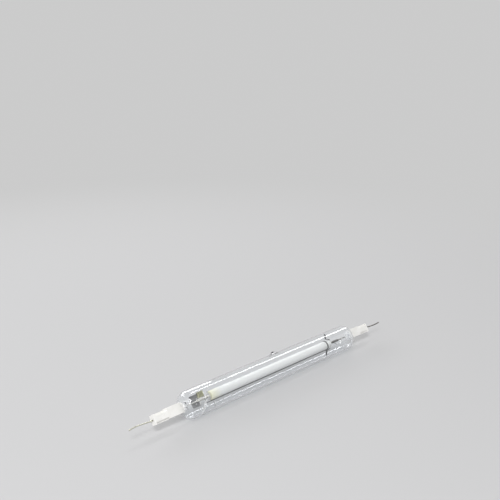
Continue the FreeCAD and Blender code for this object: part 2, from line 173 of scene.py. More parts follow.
@dataclass(frozen=True)
class FusedQuartz:
    """Clear fused quartz tubing, flame-worked: bright, hard reflections and faint draw lines.

    Where the seals were pressed the glass is full of folds, which show white and grey, with a
    few black marks across the tip of the near root that are a painted reflection of dark
    surroundings.
    """

    slot: str = "quartz_glass"
    body: str = "FCFDFE"
    lit_through: str = "F6F7F8"
    ior: float = 1.458
    roughness: float = 0.0
    draw_line: float = 2.2
    draw_stretch: float = 0.02
    draw_depth: float = 0.005
    fold_white: str = "FAFAFA"
    fold_grey: str = "B8B8BC"
    # Painted reflection: the black of dark surroundings, laid across the near root's tip
    gap_black: str = "151517"
    root_tip: float = 137.1
    root_radius: float = 6.3
    root_margin: float = 0.2
    fold_size: float = 2.2
    fold_relief: float = 0.25
    fold_share: float = 0.85
    fold_roughness: tuple[float, float] = (0.20, 0.08)
    # Width and fade of that painted reflection along the lamp, in millimetres
    gap_width: float = 1.5
    gap_fade: float = 0.4

    def folds(self, tree: bpy.types.NodeTree,
              place: bpy.types.NodeSocket) -> tuple[bpy.types.Node, bpy.types.Node]:
        """Makes the pressed glass of the roots.

        Args:
            tree: the material's node tree.
            place: object coordinates.

        Returns:
            The shader of the folds, and the node whose value is 1 where they are.
        """
        parts = add_node(tree, "ShaderNodeSeparateXYZ", {"Vector": place})
        station = add_node(tree, "ShaderNodeMath", {0: parts.outputs["X"]}, operation="ABSOLUTE")
        beside = add_node(tree, "ShaderNodeCombineXYZ", {
            "Y": parts.outputs["Y"], "Z": parts.outputs["Z"]})
        radius = add_node(tree, "ShaderNodeVectorMath", {0: beside.outputs["Vector"]},
                          operation="LENGTH")
        past_tip = add_node(tree, "ShaderNodeMath", {
            0: station.outputs["Value"], 1: (self.root_tip - self.root_margin) * MM},
            operation="GREATER_THAN")
        inside = add_node(tree, "ShaderNodeMath", {
            0: radius.outputs["Value"], 1: self.root_radius * MM}, operation="LESS_THAN")
        where = add_node(tree, "ShaderNodeMath", {
            0: past_tip.outputs["Value"], 1: inside.outputs["Value"]}, operation="MULTIPLY")
        mottle = add_node(tree, "ShaderNodeTexNoise", {
            "Vector": place, "Scale": per_mm(self.fold_size), "Detail": 3.0, "Roughness": 0.6})
        tone = ramp_colours(add_node(tree, "ShaderNodeValToRGB", {
            "Fac": mottle.outputs["Fac"]}), [(0.34, self.fold_grey), (0.46, self.fold_white)])
        # Painted reflection: broken black marks just past the near root's tip stand for dark
        # surroundings reflected there
        gap_end = self.root_tip + self.gap_width
        near_tip = add_node(tree, "ShaderNodeMapRange", {
            "Value": station.outputs["Value"], "From Min": gap_end * MM,
            "From Max": (gap_end + self.gap_fade) * MM, "To Min": 1.0, "To Max": 0.0})
        broken = ramp_colours(add_node(tree, "ShaderNodeValToRGB", {
            "Fac": mottle.outputs["Fac"]}), [(0.50, "FFFFFF"), (0.55, "000000")])
        at_tip = add_node(tree, "ShaderNodeMath", {
            0: near_tip.outputs["Result"], 1: broken.outputs["Color"]}, operation="MULTIPLY")
        near_root = add_node(tree, "ShaderNodeMath", {
            0: parts.outputs["X"], 1: 0.0}, operation="LESS_THAN")
        gap = add_node(tree, "ShaderNodeMath", {
            0: at_tip.outputs["Value"], 1: near_root.outputs["Value"]}, operation="MULTIPLY")
        colour = add_node(tree, "ShaderNodeMix", {
            0: gap.outputs["Value"], 6: tone.outputs["Color"], 7: srgb(self.gap_black)},
            data_type="RGBA")
        bump = add_node(tree, "ShaderNodeBump", {
            "Height": mottle.outputs["Fac"], "Strength": 1.0,
            "Distance": self.fold_relief * MM})
        matt = add_node(tree, "ShaderNodeMapRange", {
            "Value": mottle.outputs["Fac"], "From Min": NOISE_LOW, "From Max": NOISE_HIGH,
            "To Min": self.fold_roughness[0], "To Max": self.fold_roughness[1]})
        pressed = add_node(tree, "ShaderNodeBsdfPrincipled", {
            "Base Color": colour.outputs[2], "Roughness": matt.outputs["Result"],
            "IOR": self.ior, "Normal": bump.outputs["Normal"]})
        return pressed, where

    def build(self) -> bpy.types.Material:
        """Makes the glass, which lets light through to its inner pieces and its shadow.

        Returns:
            The material.
        """
        material, tree = new_material("fused_quartz")
        place = add_node(tree, "ShaderNodeTexCoord").outputs["Object"]
        along = add_node(tree, "ShaderNodeMapping", {
            "Vector": place, "Scale": (self.draw_stretch, 1.0, 1.0)})
        lines = add_node(tree, "ShaderNodeTexNoise", {
            "Vector": along.outputs["Vector"], "Scale": per_mm(self.draw_line), "Detail": 2.0})
        bump = add_node(tree, "ShaderNodeBump", {
            "Height": lines.outputs["Fac"], "Strength": 1.0, "Distance": self.draw_depth * MM})
        glass = add_node(tree, "ShaderNodeBsdfPrincipled", {
            "Base Color": srgb(self.body), "Roughness": self.roughness, "IOR": self.ior,
            "Transmission Weight": 1.0, "Normal": bump.outputs["Normal"]})
        pressed, where = self.folds(tree, place)
        share = add_node(tree, "ShaderNodeMath", {
            0: where.outputs["Value"], 1: self.fold_share}, operation="MULTIPLY")
        body = add_node(tree, "ShaderNodeMixShader", {
            0: share.outputs["Value"], 1: glass.outputs["BSDF"], 2: pressed.outputs["BSDF"]})
        clear = add_node(tree, "ShaderNodeBsdfTransparent", {"Color": srgb(self.lit_through)})
        path = add_node(tree, "ShaderNodeLightPath")
        lighting = add_node(tree, "ShaderNodeMath", {
            0: path.outputs["Is Shadow Ray"], 1: path.outputs["Is Diffuse Ray"]},
            operation="MAXIMUM")
        both = add_node(tree, "ShaderNodeMixShader", {
            0: lighting.outputs["Value"], 1: body.outputs["Shader"],
            2: clear.outputs["BSDF"]})
        add_node(tree, "ShaderNodeOutputMaterial", {"Surface": both.outputs["Shader"]})
        return material


@dataclass(frozen=True)
class Steatite:
    """Dry-pressed steatite, fired unglazed: dense white, a little sheen, fine press grain."""

    slot: str = "cap_ceramic"
    body: str = "F7F6F3"
    shade: str = "EFEEEA"
    speck: str = "DDDAD2"
    ior: float = 1.6
    roughness: tuple[float, float] = (0.46, 0.58)
    patch: float = 9.0
    speck_size: float = 0.9
    grain: float = 0.45
    relief: float = 0.03

    def build(self) -> bpy.types.Material:
        """Makes the ceramic with soft tone patches, rare specks and press grain.

        Returns:
            The material.
        """
        material, tree = new_material("pressed_steatite")
        place = add_node(tree, "ShaderNodeTexCoord").outputs["Object"]
        patches = add_node(tree, "ShaderNodeTexNoise", {
            "Vector": place, "Scale": per_mm(self.patch), "Detail": 3.0})
        tone = ramp_colours(add_node(tree, "ShaderNodeValToRGB", {
            "Fac": patches.outputs["Fac"]}), [(0.38, self.shade), (0.62, self.body)])
        specks = add_node(tree, "ShaderNodeTexNoise", {
            "Vector": place, "Scale": per_mm(self.speck_size), "Detail": 1.0})
        rare = ramp_colours(add_node(tree, "ShaderNodeValToRGB", {
            "Fac": specks.outputs["Fac"]}), [(0.75, "000000"), (0.80, "FFFFFF")])
        colour = add_node(tree, "ShaderNodeMix", {
            0: rare.outputs["Color"], 6: tone.outputs["Color"], 7: srgb(self.speck)},
            data_type="RGBA")
        grit = add_node(tree, "ShaderNodeTexNoise", {
            "Vector": place, "Scale": per_mm(self.grain), "Detail": 4.0})
        bump = add_node(tree, "ShaderNodeBump", {
            "Height": grit.outputs["Fac"], "Strength": 0.8, "Distance": self.relief * MM})
        matt = add_node(tree, "ShaderNodeMapRange", {
            "Value": patches.outputs["Fac"], "From Min": NOISE_LOW, "From Max": NOISE_HIGH,
            "To Min": self.roughness[0], "To Max": self.roughness[1]})
        skin = add_node(tree, "ShaderNodeBsdfPrincipled", {
            "Base Color": colour.outputs[2], "Roughness": matt.outputs["Result"],
            "IOR": self.ior, "Normal": bump.outputs["Normal"]})
        add_node(tree, "ShaderNodeOutputMaterial", {"Surface": skin.outputs["BSDF"]})
        return material


@dataclass(frozen=True)
class CapCement:
    """Zirconia cement, cast by hand: chalky, pitted, with grey patches where it is thin."""

    slot: str = "cap_cement"
    body: str = "EFEEEA"
    grey: str = "A9A8A6"
    roughness: tuple[float, float] = (0.92, 0.78)
    patch: float = 2.2
    pit: float = 0.7
    relief: float = 0.18

    def build(self) -> bpy.types.Material:
        """Makes the mottled, pitted cement.

        Returns:
            The material.
        """
        material, tree = new_material("cast_cement")
        place = add_node(tree, "ShaderNodeTexCoord").outputs["Object"]
        mottle = add_node(tree, "ShaderNodeTexNoise", {
            "Vector": place, "Scale": per_mm(self.patch), "Detail": 4.0, "Roughness": 0.6})
        tone = ramp_colours(add_node(tree, "ShaderNodeValToRGB", {
            "Fac": mottle.outputs["Fac"]}), [(0.34, self.grey), (0.50, self.body)])
        pits = add_node(tree, "ShaderNodeTexVoronoi", {
            "Vector": place, "Scale": per_mm(self.pit)})
        bump = add_node(tree, "ShaderNodeBump", {
            "Height": pits.outputs["Distance"], "Strength": 1.0, "Distance": self.relief * MM})
        matt = add_node(tree, "ShaderNodeMapRange", {
            "Value": mottle.outputs["Fac"], "From Min": NOISE_LOW, "From Max": NOISE_HIGH,
            "To Min": self.roughness[0], "To Max": self.roughness[1]})
        skin = add_node(tree, "ShaderNodeBsdfPrincipled", {
            "Base Color": tone.outputs["Color"], "Roughness": matt.outputs["Result"],
            "Normal": bump.outputs["Normal"]})
        add_node(tree, "ShaderNodeOutputMaterial", {"Surface": skin.outputs["BSDF"]})
        return material


@dataclass(frozen=True)
class WorkedMetal:
    """A drawn, rolled or sintered metal with streaks along the lamp and light handling marks."""

    name: str
    slot: str
    bright: str
    dull: str
    roughness: float = 0.3
    streak: float = 0.5
    stretch: float = 0.08
    blotch: float = 3.5
    relief: float = 0.006
    polished: float = 0.75
    rubbed: float = 1.35

    def build(self) -> bpy.types.Material:
        """Makes the metal, with its tone and roughness broken up by the same streaks.

        Returns:
            The material.
        """
        material, tree = new_material(self.name)
        place = add_node(tree, "ShaderNodeTexCoord").outputs["Object"]
        along = add_node(tree, "ShaderNodeMapping", {
            "Vector": place, "Scale": (self.stretch, 1.0, 1.0)})
        streaks = add_node(tree, "ShaderNodeTexNoise", {
            "Vector": along.outputs["Vector"], "Scale": per_mm(self.streak), "Detail": 5.0})
        blotch = add_node(tree, "ShaderNodeTexNoise", {
            "Vector": place, "Scale": per_mm(self.blotch), "Detail": 2.0})
        tone = add_node(tree, "ShaderNodeMix", {
            0: blotch.outputs["Fac"], 6: srgb(self.dull), 7: srgb(self.bright)},
            data_type="RGBA")
        matt = add_node(tree, "ShaderNodeMapRange", {
            "Value": streaks.outputs["Fac"], "From Min": NOISE_LOW, "From Max": NOISE_HIGH,
            "To Min": self.roughness * self.polished,
            "To Max": self.roughness * self.rubbed})
        bump = add_node(tree, "ShaderNodeBump", {
            "Height": streaks.outputs["Fac"], "Strength": 1.0, "Distance": self.relief * MM})
        skin = add_node(tree, "ShaderNodeBsdfPrincipled", {
            "Base Color": tone.outputs[2], "Metallic": 1.0,
            "Roughness": matt.outputs["Result"], "Normal": bump.outputs["Normal"]})
        add_node(tree, "ShaderNodeOutputMaterial", {"Surface": skin.outputs["BSDF"]})
        return material


@dataclass(frozen=True)
class SinteredAlumina:
    """Translucent sintered alumina: milky white, satin, tinted faintly yellow at its near end."""

    slot: str = "arc_alumina"
    body: str = "F4F4F1"
    tint: str = "EFEDD2"
    tint_from: float = -104.0
    tint_to: float = -88.0
    ior: float = 1.76
    roughness: tuple[float, float] = (0.34, 0.42)
    milkiness: float = 0.35
    scatter_depth: float = 0.8
    grain: float = 1.2
    relief: float = 0.02

    def build(self) -> bpy.types.Material:
        """Makes the milky ceramic with light scattered inside it.

        Returns:
            The material.
        """
        material, tree = new_material("sintered_alumina")
        place = add_node(tree, "ShaderNodeTexCoord").outputs["Object"]
        parts = add_node(tree, "ShaderNodeSeparateXYZ", {"Vector": place})
        fade = add_node(tree, "ShaderNodeMapRange", {
            "Value": parts.outputs["X"], "From Min": self.tint_from * MM,
            "From Max": self.tint_to * MM, "To Min": 0.0, "To Max": 1.0})
        colour = add_node(tree, "ShaderNodeMix", {
            0: fade.outputs["Result"], 6: srgb(self.tint), 7: srgb(self.body)},
            data_type="RGBA")
        cloud = add_node(tree, "ShaderNodeTexNoise", {
            "Vector": place, "Scale": per_mm(self.grain), "Detail": 3.0})
        bump = add_node(tree, "ShaderNodeBump", {
            "Height": cloud.outputs["Fac"], "Strength": 0.6, "Distance": self.relief * MM})
        matt = add_node(tree, "ShaderNodeMapRange", {
            "Value": cloud.outputs["Fac"], "From Min": NOISE_LOW, "From Max": NOISE_HIGH,
            "To Min": self.roughness[0], "To Max": self.roughness[1]})
        skin = add_node(tree, "ShaderNodeBsdfPrincipled", {
            "Base Color": colour.outputs[2], "Roughness": matt.outputs["Result"],
            "IOR": self.ior, "Subsurface Weight": self.milkiness,
            "Subsurface Radius": (1.0, 1.0, 0.95), "Subsurface Scale": self.scatter_depth * MM,
            "Normal": bump.outputs["Normal"]})
        add_node(tree, "ShaderNodeOutputMaterial", {"Surface": skin.outputs["BSDF"]})
        return material


@dataclass(frozen=True)
class GetterPowder:
    """Pressed getter powder on a metal strip: dull olive, gritty, lighter where it was rubbed."""

    slot: str = "getter_metal"
    body: str = "9B9A7C"
    pale: str = "CDCBAE"
    dark: str = "5E5D4C"
    metallic: float = 0.35
    roughness: tuple[float, float] = (0.70, 0.54)
    clump: float = 2.0
    grit: float = 0.5
    relief: float = 0.08

    def build(self) -> bpy.types.Material:
        """Makes the gritty olive powder.

        Returns:
            The material.
        """
        material, tree = new_material("pressed_getter")
        place = add_node(tree, "ShaderNodeTexCoord").outputs["Object"]
        cloud = add_node(tree, "ShaderNodeTexNoise", {
            "Vector": place, "Scale": per_mm(self.clump), "Detail": 6.0, "Roughness": 0.65})
        tone = ramp_colours(add_node(tree, "ShaderNodeValToRGB", {
            "Fac": cloud.outputs["Fac"]}),
            [(0.34, self.dark), (0.48, self.body), (0.66, self.pale)])
        grit = add_node(tree, "ShaderNodeTexNoise", {
            "Vector": place, "Scale": per_mm(self.grit), "Detail": 4.0})
        bump = add_node(tree, "ShaderNodeBump", {
            "Height": grit.outputs["Fac"], "Strength": 1.0, "Distance": self.relief * MM})
        matt = add_node(tree, "ShaderNodeMapRange", {
            "Value": cloud.outputs["Fac"], "From Min": NOISE_LOW, "From Max": NOISE_HIGH,
            "To Min": self.roughness[0], "To Max": self.roughness[1]})
        skin = add_node(tree, "ShaderNodeBsdfPrincipled", {
            "Base Color": tone.outputs["Color"], "Metallic": self.metallic,
            "Roughness": matt.outputs["Result"], "Normal": bump.outputs["Normal"]})
        add_node(tree, "ShaderNodeOutputMaterial", {"Surface": skin.outputs["BSDF"]})
        return material


# Stiff outer leads: nickel-clad wire, bright and faintly golden where it is clean
CLEAN_NICKEL = WorkedMetal("drawn_nickel", "lead_nickel", "E2E2D4", "A9A899", 0.28)
# The other lead is a darker copy of the same nickel
OXIDISED_NICKEL = WorkedMetal("oxidised_nickel", "lead_nickel", "8A8884", "56544F", 0.42)
# Molybdenum rod and foil: grey, drawn through a die
MOLYBDENUM = WorkedMetal("drawn_molybdenum", "molybdenum", "B4B3B0", "7E7D7B", 0.34)
# The near inner lead is a paler copy of the same molybdenum: its extra brightness is a painted
# reflection of the bright lamps
ETCHED_MOLYBDENUM = WorkedMetal("etched_molybdenum", "molybdenum", "E9E8E5", "C9C8C5", 0.36)
# The thin starting wire has been fired and is nearly black
FIRED_MOLYBDENUM = WorkedMetal("fired_molybdenum", "molybdenum", "5A5857", "2E2D2D", 0.5)
# Rolled nickel-plated strip for carrier, springs, bars and strap: near white, partly its own pale
# colour and partly a painted reflection of the bright lamps
SPRING_STRIP = WorkedMetal("rolled_strip", "spring_strip", "F2F2F0", "D2D2D2", 0.34, 0.8)
# The far bar is a darker copy of the same strip
HEATED_STRIP = WorkedMetal("heated_strip", "spring_strip", "6E6E70", "444446", 0.4, 0.8)
# Sheet carrier, pickled: mid grey, with broad soft reflections
CARRIER_SHEET = WorkedMetal("pickled_sheet", "spring_strip", "A6A6A6", "727274", 0.36, 0.8)
# Niobium tube, drawn and cleaned: pale satin grey, made paler still as a painted reflection of a
# bright lamp
NIOBIUM = WorkedMetal("drawn_niobium", "niobium", "E4E3DF", "C4C2BC", 0.40)
# The far niobium tube is a darker copy of the same niobium
TINTED_NIOBIUM = WorkedMetal("tinted_niobium", "niobium", "6F6D69", "484643", 0.4)
# Tungsten: dark swaged rod
TUNGSTEN = WorkedMetal("swaged_tungsten", "tungsten", "77777A", "47474A", 0.45)

# Any of the finishes
Finish = FusedQuartz | Steatite | CapCement | WorkedMetal | SinteredAlumina | GetterPowder


class FinishRack:
    """Builds each finish once and puts it on every piece that has it."""

    def __init__(self) -> None:
        """Starts with no finish made."""
        self._made: dict[Finish, bpy.types.Material] = {}

    def dress(self, piece: bpy.types.Object, finish: Finish) -> None:
        """Gives a piece its finish.

        Args:
            piece: the object to dress.
            finish: what its surface is made of.
        """
        if finish not in self._made:
            self._made[finish] = finish.build()
        piece.data.materials.clear()
        piece.data.materials.append(self._made[finish])

    def dress_node(self, name: str, finish: Finish) -> None:
        """Gives a CAD node its finish."""
        self.dress(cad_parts[name], finish)


# ---------------------------------------------------------------- shaping


class RingRun:
    """A solid grown ring by ring from a circle, in the lamp's own axes."""

    def __init__(self, centre: Vector, radius: float, segments: int,
                 heading: Vector = AXIS, closed: bool = True) -> None:
        """Starts with one ring.

        Args:
            centre: middle of the first ring.
            radius: its radius.
            segments: how many sides the ring has.
            heading: direction in which the run goes.
            closed: whether the first ring is filled.
        """
        self.bm = bmesh.new()
        self.centre = centre.copy()
        self.heading = heading.normalized()
        self.radius = radius
        turn = Vector((0, 0, 1)).rotation_difference(self.heading).to_matrix().to_4x4()
        bmesh.ops.create_circle(self.bm, cap_ends=closed, segments=segments, radius=radius,
                                matrix=Matrix.Translation(centre) @ turn)
        self.ring = list(self.bm.edges)
        self.first_ring = list(self.ring)

    def step(self, distance: float, radius: float | None = None,
             turn: float = 0.0) -> "RingRun":
        """Grows one more ring.

        Args:
            distance: how far the new ring is from the last.
            radius: radius of the new ring, the same when left out.
            turn: change of heading in the XZ plane, in radians; positive goes up.

        Returns:
            This run, so that calls can be chained.
        """
        grown = bmesh.ops.extrude_edge_only(self.bm, edges=self.ring)["geom"]
        verts = [g for g in grown if isinstance(g, bmesh.types.BMVert)]
        fresh = set(verts)
        self.ring = [g for g in grown if isinstance(g, bmesh.types.BMEdge)
                     and all(v in fresh for v in g.verts)]
        spin = Matrix.Rotation(-turn, 3, "Y")
        move = self.heading * distance
        bmesh.ops.translate(self.bm, vec=move, verts=verts)
        self.centre += move
        bmesh.ops.rotate(self.bm, cent=self.centre, matrix=spin, verts=verts)
        self.heading = spin @ self.heading
        radius = self.radius if radius is None else radius
        growth = radius / self.radius
        bmesh.ops.scale(self.bm, vec=(growth, growth, growth),
                        space=Matrix.Translation(-self.centre), verts=verts)
        self.radius = radius
        return self

    def arc(self, length: float, turn: float, steps: int) -> "RingRun":
        """Grows a smooth bend.

        Args:
            length: its length along the middle.
            turn: the whole change of heading, in radians.
            steps: how many rings share the turn.

        Returns:
            This run.
        """
        self.step(length / steps / 2, turn=turn / steps)
        for _ in range(steps - 1):
            self.step(length / steps, turn=turn / steps)
        return self.step(length / steps / 2)

    def swell(self, length: float, radius: float, steps: int = 8) -> "RingRun":
        """Grows a barrel-shaped bead on the run.

        Args:
            length: its length.
            radius: its radius at the middle.
            steps: how many rings it has.

        Returns:
            This run.
        """
        base = self.radius
        for i in range(1, steps + 1):
            share = math.sin(math.pi * i / steps)
            self.step(length / steps, base + (radius - base) * share)
        return self

    def close(self) -> bmesh.types.BMesh:
        """Fills the last ring and returns the mesh."""
        bmesh.ops.contextual_create(self.bm, geom=self.ring)
        return self.bm

    def close_on_start(self) -> bmesh.types.BMesh:
        """Joins the last ring to the first and returns the mesh."""
        bmesh.ops.bridge_loops(self.bm, edges=self.ring + self.first_ring)
        return self.bm


def smooth_object(name: str, bm: bmesh.types.BMesh, sharp: float) -> bpy.types.Object:
    """Makes an object with smooth shading and sharp edges.

    Args:
        name: the object's name.
        bm: its mesh, in metres; it is freed.
        sharp: angle in degrees above which an edge stays sharp.

    Returns:
        The new object, at the origin and in the scene.
    """
    for face in bm.faces:
        face.smooth = True
    mesh = bpy.data.meshes.new(name)
    bm.to_mesh(mesh)
    bm.free()
    mesh.set_sharp_from_angle(angle=math.radians(sharp))
    made = bpy.data.objects.new(name, mesh)
    bpy.context.scene.collection.objects.link(made)
    return made


def to_piece(name: str, bm: bmesh.types.BMesh, sharp: float = SHARP) -> bpy.types.Object:
    """Turns a mesh in the lamp's axes into an object in the row's frame.

    Args:
        name: the piece's name.
        bm: the mesh, in millimetres; it is freed.
        sharp: angle in degrees above which an edge stays sharp.

    Returns:
        The new object, at the origin.
    """
    bmesh.ops.remove_doubles(bm, verts=bm.verts, dist=WELD)
    bmesh.ops.recalc_face_normals(bm, faces=bm.faces)
    bmesh.ops.transform(bm, matrix=TO_ROW, verts=bm.verts)
    return smooth_object(name, bm, sharp)


def combine(piece: bpy.types.Object, tool: bpy.types.Object, joining: Joining) -> None:
    """Joins or cuts one closed piece with another and removes the tool.

    Args:
        piece: the piece that changes.
        tool: the closed shape that acts on it.
        joining: union or difference.
    """
    change = piece.modifiers.new("joining", "BOOLEAN")
    change.object = tool
    change.operation = joining.value
    change.solver = "EXACT"
    seen = bpy.context.evaluated_depsgraph_get()
    mesh = bpy.data.meshes.new_from_object(piece.evaluated_get(seen))
    piece.modifiers.clear()
    piece.data = mesh
    bpy.data.objects.remove(tool)
    for polygon in mesh.polygons:
        polygon.use_smooth = True
    mesh.set_sharp_from_angle(angle=math.radians(SHARP))


def mirrored(bm: bmesh.types.BMesh, end: End) -> bmesh.types.BMesh:
    """Turns a shape that was made for the far end over if it belongs to the near end.

    Args:
        bm: the shape, in the lamp's axes.
        end: the end that it belongs to.

    Returns:
        The same mesh.
    """
    if end is End.NEAR:
        bmesh.ops.scale(bm, vec=(-1, 1, 1), verts=bm.verts)
    return bm


def softened(node: str, name: str, width: float, steps: int = 3,
             merge: float = 0.002) -> bpy.types.Object:
    """Copies a CAD node with its sharp outer edges rounded over.

    Args:
        node: the CAD node to copy.
        name: the new piece's name.
        width: width of the rounding in millimetres.
        steps: how many facets the rounding has.
        merge: points closer than this many millimetres are merged first.

    Returns:
        The new piece, which stands for the node.
    """
    bm = bmesh.new()
    bm.from_mesh(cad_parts[node].data)
    bmesh.ops.remove_doubles(bm, verts=bm.verts, dist=merge * MM)
    bmesh.ops.dissolve_limit(bm, angle_limit=FLAT, verts=bm.verts, edges=bm.edges)
    # Short edges on the fillets would hold a clamped bevel back to nothing
    edges = [e for e in bm.edges if e.is_convex and e.calc_face_angle(0.0) > CRISP]
    bmesh.ops.bevel(bm, geom=edges, offset=width * MM, affect="EDGES", segments=steps,
                    profile=0.5, material=-1, clamp_overlap=False)
    bmesh.ops.dissolve_degenerate(bm, edges=bm.edges, dist=WELD_COPY)
    piece = smooth_object(name, bm, SHARP_COPY)
    piece.modifiers.new("even_shading", "WEIGHTED_NORMAL").keep_sharp = True
    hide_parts(node)
    return piece


def settle(piece: bpy.types.Object, finish: Finish, rack: FinishRack) -> None:
    """Dresses a new piece and lets it ride on the lamp.

    Args:
        piece: the new piece.
        finish: what its surface is made of.
        rack: where finishes are made.
    """
    rack.dress(piece, finish)
    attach(piece, "root")
    LOG.info("%s: %d faces", piece.name, len(piece.data.polygons))


# ---------------------------------------------------------------- sub-assemblies


@dataclass
class Envelope:
    """The blown quartz bulb with its round shoulders, pressed seals and exhaust tip."""

    radius: float = 16.465
    wall: float = 1.4
    shoulder: float = 10.0
    straight_end: float = 133.5
    seal_length: float = 20.0
    seal_width: float = 8.8
    seal_thickness: float = 4.4
    seal_edge: float = 1.2
    root_depth: float = 5.0
    root_flare: float = 1.0
    root_taper: float = 0.8
    tip_station: float = 9.0
    tip_foot: float = 7.2
    tip_depth: float = 2.2
    tip_segments: int = 56
    tip_side: float = 7.0
    segments: int = 128
    shoulder_steps: int = 14

    @property
    def end(self) -> float:
        """Station at which the bulb ends and the seal begins."""
        return self.straight_end + self.shoulder

    def shell(self, name: str, inset: float) -> bpy.types.Object:
        """Round body from one bulb end to the other.

        Args:
            name: the piece's name.
            inset: how far it is set in from the glass's outside.

        Returns:
            The closed body.
        """
        flat = self.radius - self.shoulder
        reach = self.shoulder - inset
        last = self.straight_end + reach
        steps = self.shoulder_steps
        stations = [(-last, flat)]
        for i in range(1, steps + 1):
            angle = math.pi / 2 * i / steps
            stations.append((-self.straight_end - reach * math.cos(angle),
                             flat + reach * math.sin(angle)))
        stations.append((self.tip_station - self.tip_side, self.radius - inset))
        stations.append((self.tip_station + self.tip_side, self.radius - inset))
        stations += [(-x, r) for x, r in reversed(stations[:steps + 1])]
        run = RingRun(Vector((-last, 0, 0)), flat, self.segments)
        for (x0, _), (x1, radius) in zip(stations, stations[1:]):
            run.step(x1 - x0, radius)
        return to_piece(name, run.close())

    def block(self, name: str, x_from: float, x_to: float, width: tuple[float, float],
              thickness: tuple[float, float]) -> bpy.types.Object:
        """Bar of glass with round edges that tapers between two stations.

        Args:
            name: the piece's name.
            x_from: the first station.
            x_to: the second station.
            width: size along Z at each station.
            thickness: size along Y at each station.

        Returns:
            The closed bar.
        """
        bm = bmesh.new()
        bmesh.ops.create_cube(bm, size=1.0, matrix=Matrix.Translation((
            (x_from + x_to) / 2, 0, 0)) @ Matrix.Diagonal((x_to - x_from, 1, 1, 1)))
        for station, wide, thick in ((x_from, width[0], thickness[0]),
                                     (x_to, width[1], thickness[1])):
            verts = [v for v in bm.verts if abs(v.co.x - station) < SAME]
            bmesh.ops.scale(bm, vec=(1, thick, wide), verts=verts)
        long_edges = [e for e in bm.edges if abs(e.verts[0].co.x - e.verts[1].co.x) > SAME]
        bmesh.ops.bevel(bm, geom=long_edges, offset=self.seal_edge, affect="EDGES",
                        segments=5, profile=0.5, material=-1)
        return to_piece(name, bm)

    def exhaust_tip(self) -> bpy.types.Object:
        """Nub, drawn up out of the wall, where the exhaust tube was melted off.

        Returns:
            The closed nub.
        """
        run = RingRun(Vector((self.tip_station, 0, self.radius - self.tip_depth)),
                      self.tip_foot, self.tip_segments, Vector((0, 0, 1)))
        # Height above the wall and radius: a wide foot, a waist and a round top
        profile = [(-0.9, 6.3), (-0.3, 5.5), (0.1, 4.8), (0.4, 4.1), (0.7, 3.45), (1.0, 2.95),
                   (1.35, 2.6), (1.7, 2.35), (2.0, 2.0), (2.25, 1.5), (2.42, 0.95),
                   (2.5, 0.4)]
        height = -self.tip_depth
        for level, radius in profile:
            run.step(level - height, radius)
            height = level
        return to_piece("tip_tool", run.close())

    def build(self, rack: FinishRack) -> None:
        """Makes the whole envelope as one piece of glass.

        Args:
            rack: where finishes are made.
        """
        glass = self.shell("quartz_envelope", 0.0)
        hollow = self.shell("hollow_tool", self.wall)
        for end in End:
            sign = end.value
            inner, outer = self.end - self.wall / 2, self.end + self.seal_length
            span = sorted((sign * inner, sign * outer))
            seal = self.block("seal_tool", span[0], span[1],
                              (self.seal_width, self.seal_width),
                              (self.seal_thickness, self.seal_thickness))
            combine(glass, seal, Joining.UNION)
            tip = self.end - self.wall - self.root_depth
            wide = (self.seal_width - self.root_taper, self.seal_width + self.root_flare)
            thick = (self.seal_thickness - self.root_taper,
                     self.seal_thickness + self.root_flare)
            if end is End.NEAR:
                root = self.block("root_tool", -inner, -tip, wide[::-1], thick[::-1])
            else:
                root = self.block("root_tool", tip, inner, wide, thick)
            combine(hollow, root, Joining.DIFFERENCE)
        combine(glass, self.exhaust_tip(), Joining.UNION)
        combine(glass, hollow, Joining.DIFFERENCE)
        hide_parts("outer_envelope")
        settle(glass, FusedQuartz(), rack)


@dataclass
class EndCap:
    """A pressed ceramic cap and the cement that holds it on its seal."""

    end: End
    edge: float = 0.2
    cement_edge: float = 0.25
    cement_mesh: float = 0.8
    bulb_side: float = 143.7
    cap_side: float = 146.3
    lump: float = 0.22
    lump_size: float = 2.4
    sunk: float = 0.25

    def cement(self) -> bpy.types.Object:
        """The cement bead, worked uneven by hand.

        Returns:
            The new piece, not yet dressed.
        """
        piece = softened(self.end.label + "_cap_cement", self.end.label + "_cement_bead",
                         self.cement_edge)
        bm = bmesh.new()
        bm.from_mesh(piece.data)
        bmesh.ops.triangulate(bm, faces=bm.faces)
        long_edges = [e for e in bm.edges if e.calc_length() > self.cement_mesh * MM]
        bmesh.ops.subdivide_edges(bm, edges=long_edges, cuts=2, use_grid_fill=True)
        for vert in bm.verts:
            if self.bulb_side * MM < abs(vert.co.x) < self.cap_side * MM:
                wave = noise.noise(vert.co * per_mm(self.lump_size))
                out = Vector((0, vert.co.y, vert.co.z)).normalized()
                bmesh.ops.translate(bm, vec=out * (wave - self.sunk) * self.lump * MM,
                                    verts=[vert])
        bm.to_mesh(piece.data)
        bm.free()
        return piece

    def build(self, rack: FinishRack) -> None:
        """Makes the cap and its cement.

        Args:
            rack: where finishes are made.
        """
        settle(softened(self.end.label + "_cap", self.end.label + "_ceramic_cap", self.edge),
               Steatite(), rack)
        settle(self.cement(), CapCement(), rack)


